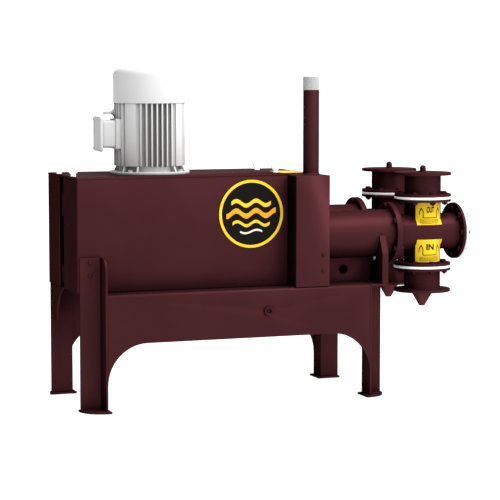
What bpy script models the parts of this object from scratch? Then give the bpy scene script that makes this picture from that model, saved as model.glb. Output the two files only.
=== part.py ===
"""A two-cylinder piston pump on a welded plate frame, driven by an upright flanged electric motor.

Everything is in metres with +Z up.  X runs along the machine towards the valve bodies, -Y is the
front, and the origin is on the floor under the middle of the machine's length.
"""

import math

import bmesh
import bpy
from mathutils import Matrix, Vector

# Driving dimensions

GAP = 0.0003                 # clearance left between touching pieces

HOUSING_LENGTH = 0.820       # crank housing, from its left end
HOUSING_HALF_WIDTH = 0.2025
HOUSING_BASE = 0.434         # its walls stop just above the rails, on a narrower sole
SOLE_INSET = 0.008
LID_THICKNESS = 0.008
LID_TOP = 0.852
SLOT_FRONT = -0.020          # upright slot in the left end, with two lugs in it
SLOT_REAR = 0.047
SLOT_DEPTH = 0.060
LUG_REAR = 0.018
LUG_INSET = 0.004
LUG_SPANS = ((0.700, 0.785), (0.454, 0.517))

PLATE = 0.008                # frame plate thickness
FRAME_HALF_WIDTH = 0.2805    # outer face of the side rails
LIP_TOP = 0.431
LIP_WIDTH = 0.125
BEND_RADIUS = 0.010
WEB_BOTTOM = 0.251
ARCH_RADIUS = 0.150
LEG_LEFT = 0.007
LEFT_LEG_WIDTH = 0.084
RIGHT_LEG_WIDTH = 0.075
FRAME_RIGHT = 1.197
LEFT_LEG_TOP = 0.562
LEG_CORNER_RADIUS = 0.045
FOOT_OUTER_OVERHANG = 0.005
FOOT_INNER_OVERHANG = 0.013
FOOT_BACK = 0.008
FOOT_CORNER_RADIUS = 0.088
GUSSET_RADIUS = 0.137
GUSSET_HOLLOW_Y = -0.017     # middle of the hollow, just past the machine's middle
GUSSET_BOTTOM = 0.297
GUSSET_SWEEP = 76            # degrees of the hollow's arc

BULKHEAD_WIDTH = 0.136
BULKHEAD_TOP = 0.847
VENT_RADIUS = 0.03015
VENT_X = 0.922
VENT_Y = -0.174
VENT_CAP_BASE = 1.163
VENT_TOP = 1.214
VENT_CAP_LAP = 0.0008        # the cap is this much wider than the pipe
VENT_CAP_CHAMFER = 0.003

LINE_Y = 0.156               # each cylinder line lies this far from the middle
LINE_Z = 0.6147
CYLINDER_RADIUS = 0.090
RING_X = 1.240
RING_THICKNESS = 0.022
RING_RADIUS = 0.117
CRADLE_THICKNESS = 0.025
CRADLE_KINK = 0.546
CRADLE_TOP = 0.612
CRADLE_SHOULDER = 0.252
BAY_PANEL_Y = 0.163
BAY_HOLE_X = 1.060
BAY_HOLE_Z = 0.479
BAY_HOLE_RADIUS = 0.018
BAY_HOLE_STEPS = 24
SADDLE_STEPS = 24

BRANCH_X = 1.397             # upright axis of each valve body
BRANCH_RADIUS = 0.071
FLANGE_RADIUS = 0.109
FLANGE_THICKNESS = 0.010
GASKET = 0.010
UPPER_JOINT = 0.747          # middle of the upper gasket
LOWER_JOINT = 0.4815
END_FACE = 1.534             # outer face of the end flange
END_COVER = 0.010
TOP_DISC = 0.8447
BOTTOM_DISC = 0.3836
DISC_THICKNESS = 0.0105
KNOB_RADIUS = 0.0118
KNOB_TOP = 0.8714
CONE_TOP_RADIUS = 0.0434
CONE_TIP_RADIUS = 0.0108
CONE_TIP = 0.326

MOTOR_X = 0.3395
MOTOR_TURN = math.radians(-4.7)      # stator and terminal box stand turned on the flange
MOTOR_FLANGE_RADIUS = 0.150
MOTOR_FLANGE_THICKNESS = 0.010
COLLAR_RADIUS = 0.116
STATOR_BASE = 0.883
STATOR_TOP = 1.115
STATOR_RADIUS = 0.133
FIN_SLOTS = 8                # upright slots on each of the four sides
FIN_PITCH = 0.0196
FIN_SLOT_WIDTH = 0.0144
FIN_SLOT_BOTTOM = 0.105      # from the motor's axis
FAN_COVER_RADIUS = 0.135
FAN_COVER_TOP = 1.243
FAN_COVER_ROUND = 0.024
BOX_LID = (0.010, 0.136, 0.129)      # depth, width and height
BOX_BODY = (0.0512, 0.104, 0.102)
BOX_PAD = (0.022, 0.112, 0.112)
BOX_REACH = 0.139            # from the motor's axis to the inner face of the box
BOX_OVERLAP = 0.001          # the pad runs this far into the box
BOX_Z = 1.0015
EDGE_BEVEL = 0.002
LID_BEVEL = 0.0015
BOX_LID_BEVEL = 0.003

SIDES = (("front", -1), ("rear", 1))
RIGHT_END = END_FACE + GAP + END_COVER
MIDDLE = RIGHT_END / 2


def along(x):
    """Turn a distance from the housing's left end into the machine's own X."""
    return x - MIDDLE


# Scene set-up

for stale in list(bpy.data.objects):
    bpy.data.objects.remove(stale)

parts = bpy.data.collections.new("piston_pump")
cutters = bpy.data.collections.new("cutters")
bpy.context.scene.collection.children.link(parts)
bpy.context.scene.collection.children.link(cutters)


def finish(name, color, roughness, metallic):
    material = bpy.data.materials.new(name)
    material.use_nodes = True
    shader = material.node_tree.nodes["Principled BSDF"]
    shader.inputs["Base Color"].default_value = (*color, 1.0)
    shader.inputs["Roughness"].default_value = roughness
    shader.inputs["Metallic"].default_value = metallic
    return material


PAINT = finish("maroon_paint", (0.075, 0.020, 0.023), 0.38, 0.0)
CASTING = finish("white_enamel", (0.72, 0.73, 0.73), 0.45, 0.0)
GREY = finish("grey_plastic", (0.30, 0.30, 0.30), 0.6, 0.0)
RUBBER = finish("white_gasket", (0.80, 0.80, 0.80), 0.6, 0.0)


# Shape helpers

def place(obj, material, collection=parts):
    obj.data.materials.clear()
    obj.data.materials.append(material)
    collection.objects.link(obj)
    return obj


def from_bmesh(name, bm, material, collection=parts, smooth=False):
    bmesh.ops.recalc_face_normals(bm, faces=bm.faces)
    mesh = bpy.data.meshes.new(name)
    bm.to_mesh(mesh)
    bm.free()
    if smooth:
        mesh.shade_smooth()
        mesh.set_sharp_from_angle(angle=math.radians(35))
    return place(bpy.data.objects.new(name, mesh), material, collection)


def block(name, low, high, material=PAINT, collection=parts, bevel=0.0):
    """A box between two corners, with its place in its location."""
    low, high = Vector(low), Vector(high)
    bm = bmesh.new()
    bmesh.ops.create_cube(bm, size=1.0)
    bmesh.ops.scale(bm, vec=high - low, verts=bm.verts)
    obj = from_bmesh(name, bm, material, collection)
    obj.location = (low + high) / 2
    if bevel:
        edge = obj.modifiers.new("edge", "BEVEL")
        edge.width = bevel
        edge.segments = 2
    return obj


def drum(name, radius, low, high, axis="Z", material=PAINT, collection=parts, sides=48):
    """A cylinder whose axis runs from low to high along one of the three axes."""
    low, high = Vector(low), Vector(high)
    bm = bmesh.new()
    bmesh.ops.create_cone(bm, cap_ends=True, segments=sides, radius1=radius, radius2=radius,
                          depth=(high - low).length)
    if axis == "X":
        bmesh.ops.rotate(bm, matrix=Matrix.Rotation(math.pi / 2, 3, "Y"), verts=bm.verts)
    if axis == "Y":
        bmesh.ops.rotate(bm, matrix=Matrix.Rotation(math.pi / 2, 3, "X"), verts=bm.verts)
    obj = from_bmesh(name, bm, material, collection, smooth=True)
    obj.location = (low + high) / 2
    return obj


def turned(name, profile, center, material=PAINT, steps=48, collection=parts):
    """A solid of revolution about Z; the profile lists (radius, z) from the top down."""
    bm = bmesh.new()
    verts = [bm.verts.new((radius, 0.0, z)) for radius, z in profile]
    for upper, lower in zip(verts, verts[1:]):
        bm.edges.new((upper, lower))
    mesh = bpy.data.meshes.new(name)
    bm.to_mesh(mesh)
    bm.free()
    obj = place(bpy.data.objects.new(name, mesh), material, collection)
    obj.location = center
    screw = obj.modifiers.new("turn", "SCREW")
    screw.axis = "Z"
    screw.steps = steps
    screw.render_steps = steps
    screw.use_merge_vertices = True
    screw.merge_threshold = 0.00005
    screw.use_smooth_shade = True
    return obj


def arc(center, radius, start, end, steps):
    """Points of an arc in a plane, with its angles in degrees."""
    angles = [math.radians(start + (end - start) * i / steps) for i in range(steps + 1)]
    return [(center[0] + radius * math.cos(a), center[1] + radius * math.sin(a)) for a in angles]


def plate(name, outline, thickness, turn, origin, material=PAINT, collection=parts, holes=()):
    """A flat outline with a thickness, as a mesh; turn maps its own plane into the machine."""
    curve = bpy.data.curves.new(name, "CURVE")
    curve.dimensions = "2D"
    curve.fill_mode = "BOTH"
    curve.extrude = thickness / 2
    for loop in (outline, *holes):
        spline = curve.splines.new("POLY")
        spline.points.add(len(loop) - 1)
        spline.use_cyclic_u = True
        for point, (u, v) in zip(spline.points, loop):
            point.co = (u, v, 0.0, 1.0)
    guide = bpy.data.objects.new(name + "_outline", curve)
    parts.objects.link(guide)
    guide.matrix_world = Matrix.Translation(origin) @ turn
    bpy.context.view_layer.update()
    mesh = bpy.data.meshes.new_from_object(guide.evaluated_get(bpy.context.evaluated_depsgraph_get()))
    mesh.name = name
    bm = bmesh.new()
    bm.from_mesh(mesh)
    bmesh.ops.remove_doubles(bm, verts=bm.verts, dist=0.00005)
    bmesh.ops.recalc_face_normals(bm, faces=bm.faces)
    bm.to_mesh(mesh)
    bm.free()
    obj = bpy.data.objects.new(name, mesh)
    place(obj, material, collection)
    obj.matrix_world = guide.matrix_world
    bpy.data.objects.remove(guide)
    bpy.data.curves.remove(curve)
    return obj


FACING_FRONT = Matrix.Rotation(math.pi / 2, 4, "X")                       # (u, v) -> (x, z)
FACING_SIDE = Matrix.Rotation(math.pi / 2, 4, "Z") @ FACING_FRONT         # (u, v) -> (y, z)
LYING = Matrix.Identity(4)                                                # (u, v) -> (x, y)


def combine(target, tool, operation):
    """Join a tool with a piece, or cut it away; the tool stays as a wire guide."""
    if tool.name in parts.objects:
        parts.objects.unlink(tool)
        cutters.objects.link(tool)
    tool.hide_render = True
    tool.display_type = "WIRE"
    step = target.modifiers.new(operation.lower(), "BOOLEAN")
    step.operation = operation
    step.object = tool
    step.solver = "EXACT"
    return target


# Crank housing

def build_housing():
    body_top = LID_TOP - LID_THICKNESS - GAP
    half = HOUSING_HALF_WIDTH
    left, right = along(0.0), along(HOUSING_LENGTH)
    body = block("crank_housing", (left, -half, HOUSING_BASE), (right, half, body_top))
    sole = block("sole_tool", (left + SOLE_INSET, SOLE_INSET - half, LIP_TOP + GAP),
                 (right - SOLE_INSET, half - SOLE_INSET, HOUSING_BASE + SOLE_INSET), collection=cutters)
    slot = block("end_slot_cutter", (left - SLOT_DEPTH, SLOT_FRONT, LIP_TOP - SLOT_DEPTH),
                 (left + SLOT_DEPTH, SLOT_REAR, LID_TOP), collection=cutters)
    combine(body, sole, "UNION")
    combine(body, slot, "DIFFERENCE")
    for low, high in LUG_SPANS:
        lug = block("lug_tool", (left + LUG_INSET, SLOT_FRONT - LUG_INSET, low),
                    (left + SLOT_DEPTH + LUG_INSET, LUG_REAR, high), collection=cutters)
        combine(body, lug, "UNION")
    block("housing_lid", (left, -half, LID_TOP - LID_THICKNESS), (right, half, LID_TOP), bevel=LID_BEVEL)


# Frame

def leg(name, x_outer, x_inner, side, top):
    """A folded plate angle: one leg faces the front, the other runs out to the side rail."""
    inward = 1 if x_inner > x_outer else -1
    inside = side * HOUSING_HALF_WIDTH
    face = side * (HOUSING_HALF_WIDTH + PLATE)
    rail = side * FRAME_HALF_WIDTH
    outline = [
        (along(x_outer), inside + side * GAP),
        (along(x_outer), face),
        (along(x_inner - inward * PLATE), face),
        (along(x_inner - inward * PLATE), rail),
        (along(x_inner), rail),
        (along(x_inner), inside + side * GAP),
    ]
    bottom = PLATE + GAP
    return plate(name, outline, top - bottom, LYING, (0.0, 0.0, (top + bottom) / 2))


def round_leg_corner(angle, x_inner, side, top):
    """Cut the outer top corner of a tall leg round."""
    corner = (side * (FRAME_HALF_WIDTH - LEG_CORNER_RADIUS), top - LEG_CORNER_RADIUS)
    start, end = (0, 90) if side > 0 else (180, 90)
    reach = side * (FRAME_HALF_WIDTH + PLATE)
    waste = arc(corner, LEG_CORNER_RADIUS, start, end, 8)
    waste += [(corner[0], top + PLATE), (reach, top + PLATE), (reach, corner[1])]
    tool = plate(angle.name + "_corner_cutter", waste, 4 * PLATE, FACING_SIDE,
                 (along(x_inner), 0.0, 0.0), collection=cutters)
    combine(angle, tool, "DIFFERENCE")


def cap_leg(angle, x_outer, x_inner, side):
    """Join a level plate to the top of a low leg, in line with the rail's lip."""
    near, far = sorted((side * (FRAME_HALF_WIDTH - LIP_WIDTH), side * FRAME_HALF_WIDTH))
    cap = block(angle.name + "_cap_tool", (along(x_inner), near, LIP_TOP - PLATE),
                (along(x_outer), far, LIP_TOP), collection=cutters)
    combine(angle, cap, "UNION")


def foot(name, x_outer, x_inner, side):
    """A thin base plate whose outer corner is rounded off almost to a quarter circle."""
    inward = 1 if x_inner > x_outer else -1
    left = x_outer - inward * FOOT_OUTER_OVERHANG
    right = x_inner + inward * FOOT_INNER_OVERHANG
    near = side * (HOUSING_HALF_WIDTH - FOOT_BACK)
    far = side * (FRAME_HALF_WIDTH + FOOT_BACK)
    center = (along(left + inward * FOOT_CORNER_RADIUS), far - side * FOOT_CORNER_RADIUS)
    start = 180 if inward > 0 else 0
    outline = [(along(left), near)]
    outline += arc(center, FOOT_CORNER_RADIUS, start, start - 90 * inward * side, 12)
    outline += [(along(right), far), (along(right), near)]
    return plate(name, outline, PLATE, LYING, (0.0, 0.0, PLATE / 2))


def side_rail(name, side):
    """A plate rail with a folded top lip and a concave arch down to each leg."""
    left = LEG_LEFT + LEFT_LEG_WIDTH + GAP
    right = FRAME_RIGHT - RIGHT_LEG_WIDTH - GAP
    low = WEB_BOTTOM - ARCH_RADIUS
    outer = side * FRAME_HALF_WIDTH
    inner = outer - side * PLATE
    back = outer - side * LIP_WIDTH
    bend = (outer - side * BEND_RADIUS, LIP_TOP - BEND_RADIUS)
    start, end = (0, 90) if side > 0 else (180, 90)
    section = [(inner, low), (outer, low)]
    section += arc(bend, BEND_RADIUS, start, end, 6)
    section += [(back, LIP_TOP), (back, LIP_TOP - PLATE), (inner, LIP_TOP - PLATE)]
    rail = plate(name, section, right - left, FACING_SIDE, (along((left + right) / 2), 0.0, 0.0))
    arch = arc((left + ARCH_RADIUS, low), ARCH_RADIUS, 180, 90, 14)
    arch += arc((right - ARCH_RADIUS, low), ARCH_RADIUS, 90, 0, 14)
    arch += [(right, low - PLATE), (left, low - PLATE)]
    arch = [(along(x), z) for x, z in arch]
    tool = plate(name + "_arch_cutter", arch, 4 * PLATE, FACING_FRONT, (0.0, outer, 0.0), collection=cutters)
    return combine(rail, tool, "DIFFERENCE")


def build_frame():
    left_inner = LEG_LEFT + LEFT_LEG_WIDTH
    right_inner = FRAME_RIGHT - RIGHT_LEG_WIDTH
    for place_name, side in SIDES:
        side_rail("side_rail_" + place_name, side)
        tall = leg(f"leg_{place_name}_left", LEG_LEFT, left_inner, side, LEFT_LEG_TOP)
        round_leg_corner(tall, left_inner, side, LEFT_LEG_TOP)
        low = leg(f"leg_{place_name}_right", FRAME_RIGHT, right_inner, side, LIP_TOP)
        cap_leg(low, FRAME_RIGHT, right_inner, side)
        foot(f"foot_{place_name}_left", LEG_LEFT, left_inner, side)
        foot(f"foot_{place_name}_right", FRAME_RIGHT, right_inner, side)
    build_end_gusset()


def build_end_gusset():
    """A corner plate under the housing's left end at the rear, hollowed by a wide arc."""
    outer = HOUSING_HALF_WIDTH - GAP
    hollow = arc((GUSSET_HOLLOW_Y, GUSSET_BOTTOM), GUSSET_RADIUS, 0, GUSSET_SWEEP, 12)
    outline = hollow + [(hollow[-1][0], LIP_TOP), (outer, LIP_TOP), (outer, GUSSET_BOTTOM)]
    plate("end_gusset_rear", outline, PLATE, FACING_SIDE, (along(LEG_LEFT + PLATE / 2), 0.0, 0.0))


# Bulkhead box, vent and pump bay

def build_bulkhead():
    left = HOUSING_LENGTH + GAP
    right = HOUSING_LENGTH + BULKHEAD_WIDTH
    block("bulkhead_box", (along(left), -FRAME_HALF_WIDTH, LIP_TOP + GAP),
          (along(right), FRAME_HALF_WIDTH, BULKHEAD_TOP), bevel=EDGE_BEVEL)
    pipe_base = (along(VENT_X), VENT_Y, BULKHEAD_TOP + GAP)
    drum("vent_pipe", VENT_RADIUS, pipe_base, (along(VENT_X), VENT_Y, VENT_CAP_BASE), sides=40)
    wide = VENT_RADIUS + VENT_CAP_LAP
    cap = [(0.0, VENT_TOP), (wide - VENT_CAP_CHAMFER, VENT_TOP), (wide, VENT_TOP - VENT_CAP_CHAMFER),
           (wide, VENT_CAP_BASE + GAP), (0.0, VENT_CAP_BASE + GAP)]
    turned("vent_cap", cap, (along(VENT_X), VENT_Y, 0.0), GREY, 40)


def build_bay():
    left = HOUSING_LENGTH + BULKHEAD_WIDTH + GAP
    right = FRAME_RIGHT - CRADLE_THICKNESS
    edge = FRAME_HALF_WIDTH
    saddle = CYLINDER_RADIUS + GAP
    profile = [(-edge, LIP_TOP + GAP), (edge, LIP_TOP + GAP), (edge, CRADLE_KINK),
               (CRADLE_SHOULDER, CRADLE_TOP)]
    dip = math.degrees(math.asin((CRADLE_TOP - LINE_Z) / saddle))
    profile += arc((LINE_Y, LINE_Z), saddle, dip, -180 - dip, SADDLE_STEPS)
    profile += arc((-LINE_Y, LINE_Z), saddle, dip, -180 - dip, SADDLE_STEPS)
    profile += [(-CRADLE_SHOULDER, CRADLE_TOP), (-edge, CRADLE_KINK)]
    plate("cylinder_cradle", profile, CRADLE_THICKNESS, FACING_SIDE,
          (along(right + CRADLE_THICKNESS / 2), 0.0, 0.0))
    low = LIP_TOP + GAP
    hole = arc((along(BAY_HOLE_X), BAY_HOLE_Z), BAY_HOLE_RADIUS, 0, 360, BAY_HOLE_STEPS)[1:]
    top = LINE_Z - saddle
    sheet = [(along(left), low), (along(right - GAP), low), (along(right - GAP), top), (along(left), top)]
    for name, side in SIDES:
        plate("bay_panel_" + name, sheet, PLATE, FACING_FRONT, (0.0, side * BAY_PANEL_Y, 0.0), holes=(hole,))
    tray_half = FRAME_HALF_WIDTH - LIP_WIDTH - GAP
    block("drip_tray", (along(left), -tray_half, LIP_TOP - PLATE), (along(right), tray_half, LIP_TOP - GAP))


# Cylinders and valve bodies

def build_line(name, side):
    y = side * LINE_Y
    tube_left = HOUSING_LENGTH + BULKHEAD_WIDTH + GAP
    ring_right = RING_X + RING_THICKNESS
    tube = drum("cylinder_" + name, CYLINDER_RADIUS, (along(tube_left), y, LINE_Z),
                (along(RING_X + GAP), y, LINE_Z), "X", sides=64)
    ring = drum("ring_tool_" + name, RING_RADIUS, (along(RING_X), y, LINE_Z),
                (along(ring_right), y, LINE_Z), "X", collection=cutters, sides=64)
    combine(tube, ring, "UNION")

    top = UPPER_JOINT - GASKET / 2
    bottom = LOWER_JOINT + GASKET / 2
    body = turned("valve_body_" + name, [
        (0.0, top), (FLANGE_RADIUS, top), (FLANGE_RADIUS, top - FLANGE_THICKNESS),
        (BRANCH_RADIUS, top - FLANGE_THICKNESS), (BRANCH_RADIUS, bottom + FLANGE_THICKNESS),
        (FLANGE_RADIUS, bottom + FLANGE_THICKNESS), (FLANGE_RADIUS, bottom), (0.0, bottom)],
        (along(BRANCH_X), y, 0.0))
    run = drum("run_tool_" + name, BRANCH_RADIUS - GAP, (along(ring_right + GAP), y, LINE_Z),
               (along(END_FACE - GAP), y, LINE_Z), "X", collection=cutters)
    rim = drum("rim_tool_" + name, FLANGE_RADIUS, (along(END_FACE - FLANGE_THICKNESS), y, LINE_Z),
               (along(END_FACE), y, LINE_Z), "X", collection=cutters)
    combine(body, run, "UNION")
    combine(body, rim, "UNION")
    drum("end_cover_" + name, FLANGE_RADIUS, (along(END_FACE + GAP), y, LINE_Z), (along(RIGHT_END), y, LINE_Z),
         "X", RUBBER)
    for joint, middle in (("upper", UPPER_JOINT), ("lower", LOWER_JOINT)):
        drum(f"{joint}_gasket_{name}", FLANGE_RADIUS, (along(BRANCH_X), y, middle - GASKET / 2 + GAP),
             (along(BRANCH_X), y, middle + GASKET / 2 - GAP), "Z", RUBBER)
    build_upper_spool("upper_spool_" + name, y)
    build_lower_spool("lower_spool_" + name, y)


def build_upper_spool(name, y):
    base = UPPER_JOINT + GASKET / 2
    dome = KNOB_TOP - KNOB_RADIUS
    profile = [(KNOB_RADIUS * math.sin(math.radians(a)), dome + KNOB_RADIUS * math.cos(math.radians(a)))
               for a in range(0, 91, 15)]
    profile += [
        (KNOB_RADIUS, TOP_DISC), (FLANGE_RADIUS, TOP_DISC), (FLANGE_RADIUS, TOP_DISC - DISC_THICKNESS),
        (BRANCH_RADIUS, TOP_DISC - DISC_THICKNESS), (BRANCH_RADIUS, base + FLANGE_THICKNESS),
        (FLANGE_RADIUS, base + FLANGE_THICKNESS), (FLANGE_RADIUS, base), (0.0, base)]
    turned(name, profile, (along(BRANCH_X), y, 0.0))


def build_lower_spool(name, y):
    top = LOWER_JOINT - GASKET / 2
    disc = BOTTOM_DISC + DISC_THICKNESS
    profile = [
        (0.0, top), (FLANGE_RADIUS, top), (FLANGE_RADIUS, top - FLANGE_THICKNESS),
        (BRANCH_RADIUS, top - FLANGE_THICKNESS), (BRANCH_RADIUS, disc), (FLANGE_RADIUS, disc),
        (FLANGE_RADIUS, BOTTOM_DISC), (CONE_TOP_RADIUS, BOTTOM_DISC), (CONE_TIP_RADIUS, CONE_TIP),
        (0.0, CONE_TIP)]
    turned(name, profile, (along(BRANCH_X), y, 0.0))


# Motor

def build_stator(axis):
    """A round body with parallel upright slots in each of its four sides, which leave the fins."""
    stator = drum("motor_stator", STATOR_RADIUS, axis + Vector((0.0, 0.0, STATOR_BASE)),
                  axis + Vector((0.0, 0.0, STATOR_TOP)), "Z", CASTING, sides=72)
    depth = STATOR_RADIUS + PLATE - FIN_SLOT_BOTTOM
    first = -FIN_PITCH * (FIN_SLOTS - 1) / 2
    for quarter in range(4):
        bm = bmesh.new()
        bmesh.ops.create_cube(bm, size=1.0)
        bmesh.ops.scale(bm, vec=(FIN_SLOT_WIDTH, depth, STATOR_TOP), verts=bm.verts)
        bmesh.ops.translate(bm, vec=(first, -FIN_SLOT_BOTTOM - depth / 2, 0.0), verts=bm.verts)
        slots = from_bmesh(f"fin_slots_{quarter}", bm, CASTING, cutters)
        slots.location = axis + Vector((0.0, 0.0, STATOR_TOP))
        slots.rotation_euler.z = MOTOR_TURN + quarter * math.pi / 2
        row = slots.modifiers.new("row", "ARRAY")
        row.count = FIN_SLOTS
        row.use_relative_offset = False
        row.use_constant_offset = True
        row.constant_offset_displace = (FIN_PITCH, 0.0, 0.0)
        combine(stator, slots, "DIFFERENCE")


def build_motor():
    axis = Vector((along(MOTOR_X), 0.0, 0.0))
    flange_top = LID_TOP + GAP + MOTOR_FLANGE_THICKNESS
    flange = [(0.0, STATOR_BASE - GAP), (COLLAR_RADIUS, STATOR_BASE - GAP), (COLLAR_RADIUS, flange_top),
              (MOTOR_FLANGE_RADIUS, flange_top), (MOTOR_FLANGE_RADIUS, LID_TOP + GAP), (0.0, LID_TOP + GAP)]
    turned("motor_flange", flange, axis, CASTING, 56)
    build_stator(axis)
    shoulder = FAN_COVER_RADIUS - FAN_COVER_ROUND
    cover = [(0.0, FAN_COVER_TOP)]
    cover += [(shoulder + FAN_COVER_ROUND * math.sin(math.radians(a)),
               FAN_COVER_TOP - FAN_COVER_ROUND * (1 - math.cos(math.radians(a)))) for a in range(0, 91, 15)]
    cover += [(FAN_COVER_RADIUS, STATOR_TOP + GAP), (0.0, STATOR_TOP + GAP)]
    turned("fan_cover", cover, axis, CASTING, 56)
    build_terminal_box(axis)


def build_terminal_box(axis):
    """A lidded box on a pad that fits the round stator, all square to the turned motor."""
    turn = Matrix.Rotation(MOTOR_TURN, 3, "Z")

    def square(name, near, size, collection=parts, bevel=0.0):
        depth, width, height = size
        obj = block(name, (-near - depth, -width / 2, BOX_Z - height / 2),
                    (-near, width / 2, BOX_Z + height / 2), CASTING, collection, bevel)
        obj.location = axis + turn @ obj.location
        obj.rotation_euler.z = MOTOR_TURN
        return obj

    square("terminal_box_lid", BOX_REACH + BOX_BODY[0] + GAP, BOX_LID, bevel=BOX_LID_BEVEL)
    body = square("terminal_box", BOX_REACH, BOX_BODY)
    pad = square("terminal_pad_tool", BOX_REACH + BOX_OVERLAP - BOX_PAD[0], BOX_PAD, cutters)
    combine(body, pad, "UNION")
    seat = drum("stator_clearance", STATOR_RADIUS + GAP, axis + Vector((0.0, 0.0, STATOR_BASE - PLATE)),
                axis + Vector((0.0, 0.0, STATOR_TOP + PLATE)), collection=cutters, sides=96)
    combine(body, seat, "DIFFERENCE")


build_housing()
build_frame()
build_bulkhead()
build_bay()
for line_name, line_side in SIDES:
    build_line(line_name, line_side)
build_motor()
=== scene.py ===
# %% [markdown]
# # A piston pump with an upright motor
#
# This notebook dresses the solid model of a two-cylinder piston pump. A welded plate frame carries a
# crank housing with an electric motor on its lid. Two cylinders run from the housing to a pair of cross
# shaped valve bodies with flanged branches. The solid model fixes every place and size, and the cells
# below give each piece its fine shape and its finish.

# %% Load the solid model
import math

import bmesh
import bpy
from mathutils import Matrix, Vector


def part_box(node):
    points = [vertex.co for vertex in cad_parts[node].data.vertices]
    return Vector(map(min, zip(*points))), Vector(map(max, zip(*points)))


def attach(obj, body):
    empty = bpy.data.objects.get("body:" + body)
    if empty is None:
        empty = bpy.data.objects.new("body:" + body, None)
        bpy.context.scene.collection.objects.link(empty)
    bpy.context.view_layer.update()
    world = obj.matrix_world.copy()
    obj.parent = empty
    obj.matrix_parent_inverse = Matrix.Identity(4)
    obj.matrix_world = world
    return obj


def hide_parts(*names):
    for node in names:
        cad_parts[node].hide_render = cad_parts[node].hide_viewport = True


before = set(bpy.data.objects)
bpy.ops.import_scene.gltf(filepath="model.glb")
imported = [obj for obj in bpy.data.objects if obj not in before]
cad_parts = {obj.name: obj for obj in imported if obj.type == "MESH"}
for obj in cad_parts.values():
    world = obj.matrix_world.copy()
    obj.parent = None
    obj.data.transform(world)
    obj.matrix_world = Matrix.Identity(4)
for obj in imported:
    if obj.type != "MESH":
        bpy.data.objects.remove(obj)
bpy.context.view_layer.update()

# %% [markdown]
# ## Sums on shader sockets
#
# A procedural finish is a sum of patterns. Written as nodes it is hard to read, so a small class wraps
# one socket and takes part in ordinary Python sums. A second class holds a material while it is made.

# %% Sockets that can be added and multiplied
class Value:
    """One output socket of a material, which ordinary sums turn into Math nodes."""

    def __init__(self, finish, socket):
        self.finish = finish
        self.socket = socket

    def sum(self, operation, first, second):
        return self.finish.node("ShaderNodeMath", {"operation": operation}, {0: first, 1: second})

    def __add__(self, other):
        return self.sum("ADD", self, other)

    def __radd__(self, other):
        return self.sum("ADD", other, self)

    def __sub__(self, other):
        return self.sum("SUBTRACT", self, other)

    def __rsub__(self, other):
        return self.sum("SUBTRACT", other, self)

    def __mul__(self, other):
        return self.sum("MULTIPLY", self, other)

    def __rmul__(self, other):
        return self.sum("MULTIPLY", other, self)


class Graph:
    """A node tree that is being made; feed() sets or links a socket, and node() adds any node."""

    def __init__(self, tree):
        self.tree = tree

    def feed(self, socket, value):
        if isinstance(value, Value):
            self.tree.links.new(value.socket, socket)
        else:
            socket.default_value = value

    def node(self, kind, settings=None, sockets=None, output=0):
        made = self.tree.nodes.new(kind)
        for name, value in (settings or {}).items():
            setattr(made, name, value)
        for name, value in (sockets or {}).items():
            self.feed(made.inputs[name], value)
        return Value(self, made.outputs[output])

    def steps(self, value, low, high):
        """A value that goes smoothly from 0 to 1 between two limits."""
        return self.node("ShaderNodeMapRange", {"interpolation_type": "SMOOTHSTEP"},
                         {"Value": value, "From Min": low, "From Max": high})


class Finish(Graph):
    """A material with one Principled shader, whose sockets are set by name."""

    def __init__(self, name, **fixed):
        self.material = bpy.data.materials.new(name)
        self.material.use_nodes = True
        super().__init__(self.material.node_tree)
        self.shader = self.tree.nodes["Principled BSDF"]
        for socket, value in fixed.items():
            self.set(socket.replace("_", " "), value)

    def set(self, socket, value):
        self.feed(self.shader.inputs[socket], value)

    def place(self):
        return self.node("ShaderNodeTexCoord", output="Object")

    def noise(self, scale, detail=2.0, roughness=0.5):
        return self.node("ShaderNodeTexNoise", None,
                         {"Vector": self.place(), "Scale": scale, "Detail": detail, "Roughness": roughness})

    def facing(self, axis):
        """How far the surface faces along a direction, from -1 to 1."""
        normal = self.node("ShaderNodeNewGeometry", output="Normal")
        return self.node("ShaderNodeVectorMath", {"operation": "DOT_PRODUCT"}, {0: normal, 1: axis}, "Value")

    def openness(self, reach):
        """1 on an open surface and less in corners and slots that other faces shade within the reach."""
        return self.node("ShaderNodeAmbientOcclusion", {"samples": 8}, {"Distance": reach}, "AO")

    def between(self, share, first, second):
        """A colour between two others."""
        return self.node("ShaderNodeMix", {"data_type": "RGBA"}, {0: share, 6: first, 7: second}, 2)

    def relief(self, height, depth, strength):
        bump = self.node("ShaderNodeBump", None, {"Height": height, "Distance": depth, "Strength": strength})
        self.set("Normal", bump)


print("shader sums ready")
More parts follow.
